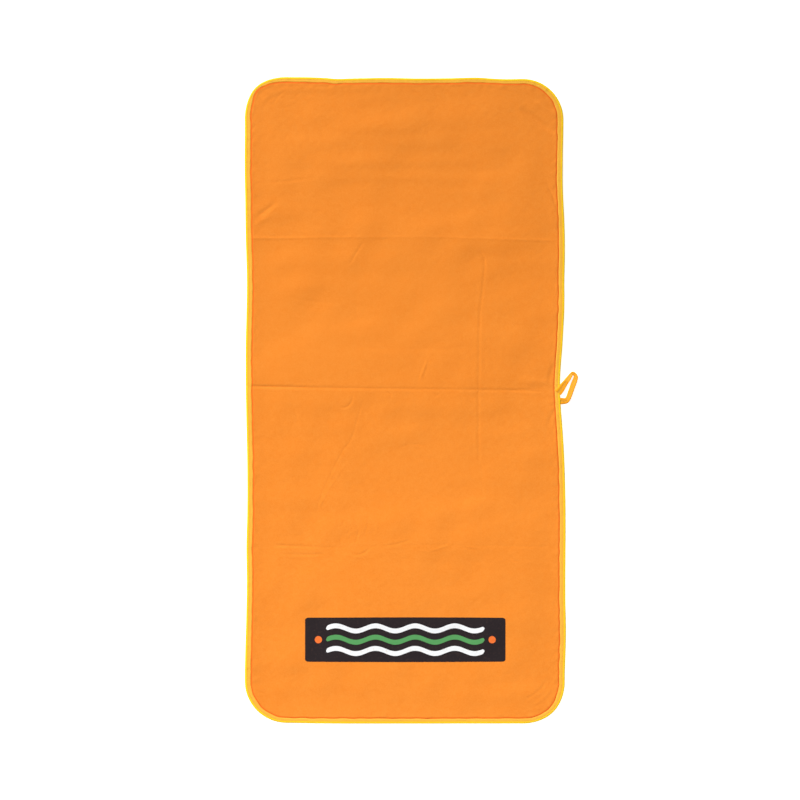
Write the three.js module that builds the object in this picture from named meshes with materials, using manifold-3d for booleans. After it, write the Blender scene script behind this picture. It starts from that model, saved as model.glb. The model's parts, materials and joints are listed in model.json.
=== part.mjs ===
// Quick dry towel: a brushed microfibre cloth with a fold-over tape binding sewn all round its edge,
// a small hanging loop of the same tape on one long edge, and a plain printed panel near one end.
//
// Millimetres. The towel lies flat on z = 0, face up. +Y runs along it, away from the printed end,
// +X is towards the edge with the loop, and the origin is the centre of the cloth's underside.
//
// Three fold lines cross the towel, so it is four stiff panels. The two ends fold in over the middle
// panels first, and the middle fold then closes the towel with the ends inside.

import * as THREE from 'three';
import { mergeVertices } from 'three/addons/utils/BufferGeometryUtils.js';
import Module from 'manifold-3d';

// Driving dimensions.
const WIDTH = 396; // across the towel, over the binding
const LENGTH = 800; // along the towel, over the binding
const CORNER_R = 52; // rounding of the four corners, at the binding's outer edge
const CLOTH_T = 0.9; // brushed cloth, one layer
const TAPE_T = 0.5; // binding tape, one layer
const TAPE_W = 8; // binding seen on each face
const SEAT_GAP = 0.1; // between the cloth and the tape that wraps it
const EDGE_GAP = 0.3; // between the tape's inner edge and the flat of the cloth
const RISE_W = 2; // strip of cloth beside the binding where it climbs into the fold of the tape

const THREAD_W = 0.5; // width of a row of stitches
const THREAD_T = 0.2; // thickness of a row of stitches
const THREAD_SINK = 0.15; // how deep the front row pulls into the tape
const THREAD_FROM_EDGE = 4; // from the binding's outer edge to the middle of the row
const GROOVE_GAP = 0.15; // each side of a row in its groove

const FOLD_MIDDLE_Y = 14; // the middle fold line, from the towel's centre
const END_GAP = 3; // from the middle fold line to the edge of each end once it is folded in
const FOLD_GAP = 0.3; // between the stiff panels at a fold line
const STACK_GAP = 2.7; // loft between layers of the folded towel, which the ripples of the cloth fill

const LOOP_TAPE_W = 6.5; // the loop's tape, folded double
const LOOP_GAP = 0.3; // between the binding and the loop's root
const LOOP_REACH = 22; // how far the loop stands out from the edge
const LOOP_LEAN = 33; // how far its tip leans along the edge, from its lower leg
const LOOP_FOOT = 10.5; // how far its lower leg runs straight out before it turns
const LOOP_Y = -0.8; // middle of the lower leg
const LOOP_LEG_PITCH = 12; // between the middles of the two legs at the root
const LOOP_BOW = 2.5; // how far the upper leg bows away from the slit

const PRINT_T = 0.1; // one layer of print
const PRINT_W = 250; // printed panel, across the towel
const PRINT_H = 55; // printed panel, along the towel
const PRINT_R = 4; // rounding of the panel's corners
const PRINT_FROM_END = 104; // from the towel's end to the middle of the panel
const WAVE_W = 6; // width of a printed wave line
const WAVE_RUN = 196; // length of a wave line, end to end
const WAVE_LENGTH = 49; // one crest to the next
const WAVE_HEIGHT = 3.2; // crest above the line's middle
const WAVE_PITCH = 14; // between the wave lines
const DOT_R = 4.5; // round dot beyond each end of the middle wave line
const DOT_GAP = 5; // between the dot and the end of the wave line

const CORNER_STEPS = 10; // straight pieces in each rounded corner
const WAVE_STEPS = 10; // straight pieces in each wave

// Heights and places that follow from them.
const BINDING_T = 2 * TAPE_T + 2 * SEAT_GAP + CLOTH_T;
const EDGE_Z = TAPE_T + SEAT_GAP;
const EDGE_INSET = TAPE_T + SEAT_GAP;
const STACK_T = BINDING_T + THREAD_T - THREAD_SINK;
const LOOP_T = 2 * TAPE_T;
const LOOP_X = WIDTH / 2 + LOOP_GAP;
const FOLD_TOP_Y = (LENGTH / 2 + FOLD_MIDDLE_Y + END_GAP) / 2;
const FOLD_BOTTOM_Y = (FOLD_MIDDLE_Y - END_GAP - LENGTH / 2) / 2;

const FINISHES = {
  cloth: { color: 0xf68f34, roughness: 0.95, metalness: 0 },
  tape: { color: 0xfbb431, roughness: 0.6, metalness: 0 },
  thread: { color: 0xf0a030, roughness: 0.7, metalness: 0 },
  printDark: { color: 0x302426, roughness: 0.75, metalness: 0 },
  printWhite: { color: 0xf2f5f8, roughness: 0.75, metalness: 0 },
  printGreen: { color: 0x57a058, roughness: 0.75, metalness: 0 },
  printRed: { color: 0xf7782f, roughness: 0.75, metalness: 0 },
};

const wasm = await Module();
wasm.setup();

const towel = new THREE.Group();

// ---------------------------------------------------------------- solids

function solidOf(geometry) {
  geometry.deleteAttribute('normal');
  geometry.deleteAttribute('uv');
  const merged = mergeVertices(geometry);
  const vertProperties = new Float32Array(merged.attributes.position.array);
  const triVerts = new Uint32Array(merged.index.array);
  return new wasm.Manifold(new wasm.Mesh({ numProp: 3, vertProperties, triVerts }));
}

// A flat outline given thickness from z = low to z = high.
function slab(points, low, high) {
  const geometry = new THREE.ExtrudeGeometry(new THREE.Shape(points), {
    depth: high - low,
    bevelEnabled: false,
  });
  geometry.translate(0, 0, low);
  return solidOf(geometry);
}

function join(solids) {
  return solids.reduce((whole, solid) => whole.add(solid));
}

function geometryOf(solid) {
  const mesh = solid.getMesh();
  const geometry = new THREE.BufferGeometry();
  geometry.setAttribute('position', new THREE.BufferAttribute(new Float32Array(mesh.vertProperties), 3));
  geometry.setIndex(new THREE.BufferAttribute(new Uint32Array(mesh.triVerts), 1));
  return geometry;
}

function addPiece(name, solid, finish) {
  const piece = new THREE.Mesh(geometryOf(solid), new THREE.MeshStandardMaterial(FINISHES[finish]));
  piece.name = name;
  towel.add(piece);
}

// ---------------------------------------------------------------- outlines

// The towel's outline round one end, drawn in by inset, from the fold line up one long edge, round
// the two corners and back to the fold line. end is 1 for the top end and -1 for the printed end.
function endLine(inset, foldY, end) {
  const x = WIDTH / 2 - inset;
  const y = LENGTH / 2 - inset;
  const r = CORNER_R - inset;
  const path = new THREE.Path();
  path.moveTo(x, end * foldY + FOLD_GAP / 2);
  path.lineTo(x, y - r);
  path.absarc(x - r, y - r, r, 0, Math.PI / 2);
  path.absarc(r - x, y - r, r, Math.PI / 2, Math.PI);
  path.lineTo(-x, end * foldY + FOLD_GAP / 2);
  return path.getPoints(CORNER_STEPS).map((point) => new THREE.Vector2(point.x, end * point.y));
}

// The band between two insets of that outline.
function endBand(outer, inner, foldY, end) {
  return [...endLine(outer, foldY, end), ...endLine(inner, foldY, end).reverse()];
}

function rectangle(x0, x1, y0, y1) {
  return [
    new THREE.Vector2(x0, y0),
    new THREE.Vector2(x1, y0),
    new THREE.Vector2(x1, y1),
    new THREE.Vector2(x0, y1),
  ];
}

// The straight band along one long edge of a middle panel. side is 1 for the loop's edge, -1 for the other.
function sideBand(outer, inner, [y0, y1], side) {
  const edge = side * (WIDTH / 2 - outer);
  const inside = side * (WIDTH / 2 - inner);
  return rectangle(Math.min(edge, inside), Math.max(edge, inside), y0, y1);
}

function roundedRectangle(width, height, radius, centreY) {
  const x = width / 2 - radius;
  const y = height / 2 - radius;
  const path = new THREE.Path();
  path.absarc(x, centreY + y, radius, 0, Math.PI / 2);
  path.absarc(-x, centreY + y, radius, Math.PI / 2, Math.PI);
  path.absarc(-x, centreY - y, radius, Math.PI, 1.5 * Math.PI);
  path.absarc(x, centreY - y, radius, 1.5 * Math.PI, 2 * Math.PI);
  return path.getPoints(CORNER_STEPS);
}

// A band of even width along a line of points.
function ribbon(points, width) {
  const left = [];
  const right = [];
  points.forEach((point, i) => {
    const before = points[Math.max(i - 1, 0)];
    const after = points[Math.min(i + 1, points.length - 1)];
    const along = new THREE.Vector2().subVectors(after, before).normalize();
    const across = new THREE.Vector2(-along.y, along.x).multiplyScalar(width / 2);
    left.push(point.clone().add(across));
    right.push(point.clone().sub(across));
  });
  return [...left, ...right.reverse()];
}

// ---------------------------------------------------------------- cloth

// The cloth is flat on the floor inside the binding, and its edge climbs into the fold of the tape.
function clothSolid(flat, risen) {
  return slab(flat, 0, CLOTH_T).add(slab(risen, EDGE_Z, EDGE_Z + CLOTH_T));
}

function addEndCloth(name, foldY, end) {
  const flatInset = TAPE_W + EDGE_GAP;
  const flat = endLine(flatInset, foldY, end);
  const risen = endBand(EDGE_INSET, flatInset + RISE_W, foldY, end);
  addPiece(name, clothSolid(flat, risen), 'cloth');
}

function addMiddleCloth(name, span) {
  const flatInset = TAPE_W + EDGE_GAP;
  const flatX = WIDTH / 2 - flatInset;
  const flat = slab(rectangle(-flatX, flatX, ...span), 0, CLOTH_T);
  const risen = [-1, 1].map((side) =>
    slab(sideBand(EDGE_INSET, flatInset + RISE_W, span, side), EDGE_Z, EDGE_Z + CLOTH_T),
  );
  addPiece(name, join([flat, ...risen]), 'cloth');
}

// ---------------------------------------------------------------- binding and its two rows of stitches

// band(outer, inner) gives the outline of a strip between two insets from the towel's edge.
function addBinding(label, band) {
  const under = slab(band(0, TAPE_W), 0, TAPE_T);
  const over = slab(band(0, TAPE_W), BINDING_T - TAPE_T, BINDING_T);
  const turn = slab(band(0, TAPE_T), 0, BINDING_T);
  const half = THREAD_W / 2;
  const row = band(THREAD_FROM_EDGE - half, THREAD_FROM_EDGE + half);
  const reach = half + GROOVE_GAP;
  const groove = band(THREAD_FROM_EDGE - reach, THREAD_FROM_EDGE + reach);
  const frontZ = BINDING_T - THREAD_SINK;
  const tape = join([under, over, turn])
    .subtract(slab(groove, frontZ, STACK_T))
    .subtract(slab(groove, -THREAD_T, THREAD_T));
  addPiece(`binding_${label}`, tape, 'tape');
  addPiece(`front_stitches_${label}`, slab(row, frontZ, STACK_T), 'thread');
  addPiece(`back_stitches_${label}`, slab(row, 0, THREAD_T), 'thread');
}

// ---------------------------------------------------------------- hanging loop

// One length of tape, folded double: out from the edge, round a turn, up to the tip and back to the edge.
function loopRoute() {
  const foot = new THREE.Vector2(LOOP_X + LOOP_FOOT, LOOP_Y + LOOP_TAPE_W / 4);
  const tip = new THREE.Vector2(LOOP_X + LOOP_REACH - LOOP_TAPE_W / 2, LOOP_Y + LOOP_LEAN);
  const lowerRoot = new THREE.Vector2(LOOP_X - LOOP_TAPE_W, LOOP_Y);
  const upperRoot = new THREE.Vector2(LOOP_X, LOOP_Y + LOOP_LEG_PITCH);
  const rise = new THREE.Vector2().subVectors(tip, foot).normalize();
  const bend = new THREE.QuadraticBezierCurve(
    foot.clone().sub(new THREE.Vector2(LOOP_TAPE_W / 2, LOOP_TAPE_W / 4)),
    foot,
    foot.clone().addScaledVector(rise, LOOP_TAPE_W / 2),
  );
  const span = new THREE.Vector2().subVectors(tip, upperRoot);
  const away = new THREE.Vector2(-span.y, span.x).setLength(2 * LOOP_BOW);
  const crown = upperRoot.clone().addScaledVector(span, 0.5).add(away);
  const back = new THREE.QuadraticBezierCurve(upperRoot, crown, tip);
  return { outgoing: [lowerRoot, ...bend.getPoints(5), tip], returning: back.getPoints(6) };
}

// A line carried on past its first and last points.
function lengthened([first, ...rest], byStart, byEnd) {
  const last = rest.at(-1);
  const second = rest[0];
  const beforeLast = rest.at(-2) ?? first;
  const start = new THREE.Vector2().subVectors(first, second).setLength(byStart).add(first);
  const end = new THREE.Vector2().subVectors(last, beforeLast).setLength(byEnd).add(last);
  return [start, first, ...rest, end];
}

function addLoop() {
  const { outgoing, returning } = loopRoute();
  const outside = rectangle(LOOP_X, LOOP_X + 2 * LOOP_REACH, LOOP_Y - LOOP_LEAN, LOOP_Y + 2 * LOOP_LEAN);
  const keep = slab(outside, -LOOP_T, 2 * LOOP_T);
  const legs = (width, low, high) =>
    join([
      slab(ribbon(lengthened(outgoing, 0, width / 4), width), low, high),
      slab(ribbon(lengthened(returning, LOOP_TAPE_W, width / 4), width), low, high),
    ]).intersect(keep);
  const grooveW = THREAD_W + 2 * GROOVE_GAP;
  const frontZ = LOOP_T - THREAD_SINK;
  const tape = legs(LOOP_TAPE_W, 0, LOOP_T)
    .subtract(legs(grooveW, frontZ, 2 * LOOP_T))
    .subtract(legs(grooveW, -THREAD_T, THREAD_T));
  addPiece('hanging_loop', tape, 'tape');
  addPiece('loop_front_stitches', legs(THREAD_W, frontZ, frontZ + THREAD_T), 'thread');
  addPiece('loop_back_stitches', legs(THREAD_W, 0, THREAD_T), 'thread');
}

// ---------------------------------------------------------------- printed panel

function addPrint() {
  const centreY = PRINT_FROM_END - LENGTH / 2;
  const panelTop = CLOTH_T + PRINT_T;
  const panel = roundedRectangle(PRINT_W, PRINT_H, PRINT_R, centreY);
  addPiece('print_panel', slab(panel, CLOTH_T, panelTop), 'printDark');

  const waves = { upper: 1, middle: 0, lower: -1 };
  for (const [label, row] of Object.entries(waves)) {
    const steps = Math.round((WAVE_STEPS * WAVE_RUN) / WAVE_LENGTH);
    const line = [];
    for (let i = 0; i <= steps; i += 1) {
      const x = (i / steps - 0.5) * WAVE_RUN;
      const lift = WAVE_HEIGHT * Math.sin((2 * Math.PI * x) / WAVE_LENGTH);
      line.push(new THREE.Vector2(x, centreY + row * WAVE_PITCH + lift));
    }
    const finish = row === 0 ? 'printGreen' : 'printWhite';
    addPiece(`print_wave_${label}`, slab(ribbon(line, WAVE_W), panelTop, panelTop + PRINT_T), finish);
  }

  for (const [label, side] of [['left', -1], ['right', 1]]) {
    const dot = new THREE.CylinderGeometry(DOT_R, DOT_R, PRINT_T, 24);
    dot.rotateX(Math.PI / 2);
    dot.translate(side * (WAVE_RUN / 2 + DOT_GAP + DOT_R), centreY, panelTop + PRINT_T / 2);
    addPiece(`print_dot_${label}`, solidOf(dot), 'printRed');
  }
}

// ---------------------------------------------------------------- assembly

const ENDS = [
  ['top_end', FOLD_TOP_Y, 1],
  ['bottom_end', FOLD_BOTTOM_Y, -1],
];
for (const [label, foldY, end] of ENDS) {
  addEndCloth(`cloth_${label}`, foldY, end);
  addBinding(label, (outer, inner) => endBand(outer, inner, foldY, end));
}

const MIDDLE_PANELS = [
  ['upper', [FOLD_MIDDLE_Y + FOLD_GAP / 2, FOLD_TOP_Y - FOLD_GAP / 2]],
  ['lower', [FOLD_BOTTOM_Y + FOLD_GAP / 2, FOLD_MIDDLE_Y - FOLD_GAP / 2]],
];
for (const [label, span] of MIDDLE_PANELS) {
  addMiddleCloth(`cloth_${label}`, span);
  addBinding(`${label}_left`, (outer, inner) => sideBand(outer, inner, span, -1));
  addBinding(`${label}_right`, (outer, inner) => sideBand(outer, inner, span, 1));
}

addLoop();
addPrint();

// The hinge lines. A quarter fold turns at the top of the edge, and the middle fold turns above both
// folded ends, so that every layer of the folded towel clears the next.
towel.userData.hinges = {
  fold_top: { y: FOLD_TOP_Y, z: STACK_T + STACK_GAP / 2 },
  fold_bottom: { y: FOLD_BOTTOM_Y, z: STACK_T + STACK_GAP / 2 },
  fold_middle: { y: FOLD_MIDDLE_Y, z: 2 * STACK_T + 1.5 * STACK_GAP },
  loop_swing: { x: LOOP_X, z: LOOP_T },
};

export default towel;
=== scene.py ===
import json
import logging
import math
from dataclasses import dataclass
from enum import Enum

import bpy
import numpy as np
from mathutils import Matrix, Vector


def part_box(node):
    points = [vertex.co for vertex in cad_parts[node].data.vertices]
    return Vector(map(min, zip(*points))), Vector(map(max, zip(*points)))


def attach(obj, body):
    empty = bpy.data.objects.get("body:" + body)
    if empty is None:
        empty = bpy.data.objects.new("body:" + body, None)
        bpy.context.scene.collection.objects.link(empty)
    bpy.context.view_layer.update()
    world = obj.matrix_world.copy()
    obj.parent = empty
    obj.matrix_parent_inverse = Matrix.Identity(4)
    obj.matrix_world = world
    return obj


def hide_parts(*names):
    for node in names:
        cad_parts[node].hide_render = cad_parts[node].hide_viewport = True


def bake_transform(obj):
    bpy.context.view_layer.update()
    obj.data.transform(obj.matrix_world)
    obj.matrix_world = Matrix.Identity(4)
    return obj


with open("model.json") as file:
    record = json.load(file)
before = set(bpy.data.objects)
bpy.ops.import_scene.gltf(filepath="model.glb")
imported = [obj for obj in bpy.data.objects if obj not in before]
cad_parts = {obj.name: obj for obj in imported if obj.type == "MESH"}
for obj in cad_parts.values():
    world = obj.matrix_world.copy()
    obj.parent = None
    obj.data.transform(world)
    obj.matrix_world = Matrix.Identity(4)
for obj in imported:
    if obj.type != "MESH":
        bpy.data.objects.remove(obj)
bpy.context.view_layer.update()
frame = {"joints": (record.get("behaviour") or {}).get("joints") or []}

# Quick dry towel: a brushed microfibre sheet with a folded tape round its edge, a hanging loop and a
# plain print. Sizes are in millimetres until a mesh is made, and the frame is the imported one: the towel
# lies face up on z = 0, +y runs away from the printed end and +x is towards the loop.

MM = 0.001
SAMPLES = 4000  # places at which a mesh's closeness is summed along a line
SHARP = 50  # degrees above which an edge of a tape is shaded sharp
SEAM_HIGH, SEAM_LOW = 111.0, -90.0  # y of the two unseen joins between the three stretches of the towel
LOG = logging.getLogger("towel")

Array = np.ndarray
Colour = tuple[float, float, float]


# ------------------------------------------------------------------------------------------ curves


@dataclass(frozen=True)
class Profile:
    """A smooth line through a few knots, level beyond its ends."""

    knots: tuple[tuple[float, float], ...]

    def at(self, where: Array) -> Array:
        """The line's value.

        Args:
            where: places along the line.

        Returns:
            One value for each place.
        """
        x, y = np.array(self.knots, float).T
        slope = np.gradient(y, x)
        slope[[0, -1]] = 0
        inside = np.clip(where, x[0], x[-1])
        i = np.clip(np.searchsorted(x, inside) - 1, 0, len(x) - 2)
        gap = x[i + 1] - x[i]
        t = (inside - x[i]) / gap
        return (
            (1 + 2 * t) * (1 - t) ** 2 * y[i]
            + t * (1 - t) ** 2 * gap * slope[i]
            + t**2 * (3 - 2 * t) * y[i + 1]
            + t**2 * (t - 1) * gap * slope[i + 1]
        )


def smooth_path(knots: Array, steps: int) -> Array:
    """A curve through every knot.

    Args:
        knots: one row a knot, of any width.
        steps: pieces between two knots.

    Returns:
        The points of the curve, one row each.
    """
    ends = np.vstack([2 * knots[0] - knots[1], knots, 2 * knots[-1] - knots[-2]])
    out = []
    for a, b, c, d in zip(ends, ends[1:], ends[2:], ends[3:]):
        for t in np.arange(steps) / steps:
            bend = (2 * a - 5 * b + 4 * c - d) * t**2 + (3 * b - a - 3 * c + d) * t**3
            out.append(0.5 * (2 * b + (c - a) * t + bend))
    return np.array([*out, knots[-1]])


@dataclass(frozen=True)
class Ripple:
    """Gentle seeded unevenness made of many plane waves.

    Attributes:
        seed: the seed of the waves.
        shortest: shortest wave.
        longest: longest wave.
        height: root mean square height.
        stretch: how much longer the waves are along x than along y.
        waves: how many waves there are.
    """

    seed: int
    shortest: float
    longest: float
    height: float
    stretch: float = 1.0
    waves: int = 36

    def at(self, x: Array, y: Array) -> Array:
        """The height at each place."""
        draw = np.random.default_rng(self.seed)
        length = self.shortest * (self.longest / self.shortest) ** draw.random(self.waves)
        turn = draw.random(self.waves) * math.tau
        start = draw.random(self.waves) * math.tau
        total = np.zeros(np.broadcast(x, y).shape)
        for k, a, s in zip(math.tau / length, turn, start):
            total += np.cos(k * (np.cos(a) * x / self.stretch + np.sin(a) * y) + s)
        return total * self.height * math.sqrt(2 / self.waves)


# ------------------------------------------------------------------------------ how the towel lies


class FoldSide(Enum):
    """Which way a pressed crease stands. The value is its sign."""

    VALLEY = -1.0
    RIDGE = 1.0


@dataclass(frozen=True)
class Crease:
    """A short wrinkle pressed into the cloth.

    Attributes:
        path: its knots, on the laid towel.
        side: valley or ridge.
        depth: how deep or high it is.
        width: half its width.
    """

    path: tuple[tuple[float, float], ...]
    side: FoldSide
    depth: float
    width: float

    def at(self, x: Array, y: Array) -> Array:
        """The height it adds at each place."""
        line = smooth_path(np.array(self.path, float), 5)
        reach = 5 * self.width  # nothing is left of it beyond
        near = (
            (x > line[:, 0].min() - reach)
            & (x < line[:, 0].max() + reach)
            & (y > line[:, 1].min() - reach)
            & (y < line[:, 1].max() + reach)
        )
        px, py = x[near], y[near]
        best = np.full(px.shape, 1e9)
        along = np.zeros(px.shape)
        for i, (a, b) in enumerate(zip(line, line[1:])):
            step = b - a
            t = np.clip(((px - a[0]) * step[0] + (py - a[1]) * step[1]) / (step @ step), 0, 1)
            gap = (px - a[0] - t * step[0]) ** 2 + (py - a[1] - t * step[1]) ** 2
            along = np.where(gap < best, (i + t) / (len(line) - 1), along)
            best = np.minimum(best, gap)
        fade = np.minimum(1, 5 * along * (1 - along))
        far = best / self.width**2
        flank, flank_reach = 0.35, 6  # beside it the cloth stands a little the other way
        out = np.zeros(x.shape)
        out[near] = self.side.value * self.depth * fade * (np.exp(-far) - flank * np.exp(-far / flank_reach))
        return out


@dataclass(frozen=True)
class FoldLine:
    """A fold pressed right across the towel.

    Attributes:
        line: y of the fold at each x.
        side: valley or ridge.
        strength: share of the full depth at each x.
        depth: depth of the sharp line.
        width: half its width.
        flank: depth of the soft slope on both sides.
        flank_width: how far that slope reaches.
    """

    line: Profile
    side: FoldSide
    strength: Profile
    depth: float = 0.55
    width: float = 1.4
    flank: float = 0.3
    flank_width: float = 15.0

    def at(self, x: Array, y: Array) -> Array:
        """The height it adds at each place."""
        off = y - self.line.at(x)
        share = self.strength.at(x)
        everywhere = 0.35  # share of the soft slope that stays where the sharp line fades out
        sharp = self.depth * share * np.exp(-((off / self.width) ** 2))
        slope = self.flank * (everywhere + (1 - everywhere) * share)
        soft = slope * np.exp(1 - np.sqrt(1 + (off / self.flank_width) ** 2))
        return self.side.value * (sharp + soft)


@dataclass(frozen=True)
class Outline:
    """The towel's outer edge before it is laid down: a rectangle with round corners."""

    half_x: float
    half_y: float
    radius: float

    @property
    def pieces(self) -> tuple[float, ...]:
        """Lengths from the middle of the right edge round to it again, counter-clockwise."""
        side, end = self.half_y - self.radius, 2 * (self.half_x - self.radius)
        turn = self.radius * math.pi / 2
        return (side, turn, end, turn, 2 * side, turn, end, turn, side)

    @property
    def length(self) -> float:
        """Length of the whole edge."""
        return sum(self.pieces)

    def at(self, along: Array) -> tuple[Array, Array]:
        """Points of the edge.

        Args:
            along: distances from the middle of the right edge, counter-clockwise.

        Returns:
            The points, and the unit directions from them into the towel.
        """
        ax, ay = self.half_x - self.radius, self.half_y - self.radius
        centres = [(ax, 0), (ax, ay), (ax, ay), (-ax, ay), (-ax, ay), (-ax, -ay), (-ax, -ay), (ax, -ay), (ax, -ay)]
        ends = np.cumsum([0.0, *self.pieces])
        along = along % self.length
        part = np.clip(np.searchsorted(ends, along, side="right") - 1, 0, 8)
        into = along - ends[part]
        bend = np.where(part % 2 == 1, into / self.radius, 0)
        angle = ((part + 1) // 2 + np.where(part % 2 == 1, -1, 0)) * math.pi / 2 + bend
        out = np.stack([np.cos(angle), np.sin(angle)], 1)
        run = np.stack([-out[:, 1], out[:, 0]], 1) * np.where(part % 2 == 0, into, 0)[:, None]
        return np.array(centres, float)[part] + out * self.radius + run, -out

    def inset(self, x: Array, y: Array) -> tuple[Array, Array, Array]:
        """How far inside the edge each place is.

        Returns:
            The distance, and x and y of the nearest point of the edge.
        """
        qx, qy = np.abs(x) - self.half_x + self.radius, np.abs(y) - self.half_y + self.radius
        corner = (qx > 0) & (qy > 0)
        reach = np.maximum(np.hypot(qx, qy), 1e-9)
        sideways = qx > qy
        nx = np.where(corner, qx / reach, sideways * 1.0) * np.sign(x)
        ny = np.where(corner, qy / reach, ~sideways * 1.0) * np.sign(y)
        depth = self.radius - np.where(corner, reach, np.maximum(qx, qy))
        return depth, x + depth * nx, y + depth * ny

    def half_width(self, y: Array, inset: float) -> Array:
        """Half the towel's width at each y, for an edge that lies inset inside this one."""
        rise = np.clip(np.abs(y) - self.half_y + self.radius, 0, self.radius - inset)
        return self.half_x - self.radius + np.sqrt((self.radius - inset) ** 2 - rise**2)


V, R = FoldSide.VALLEY, FoldSide.RIDGE


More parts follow.
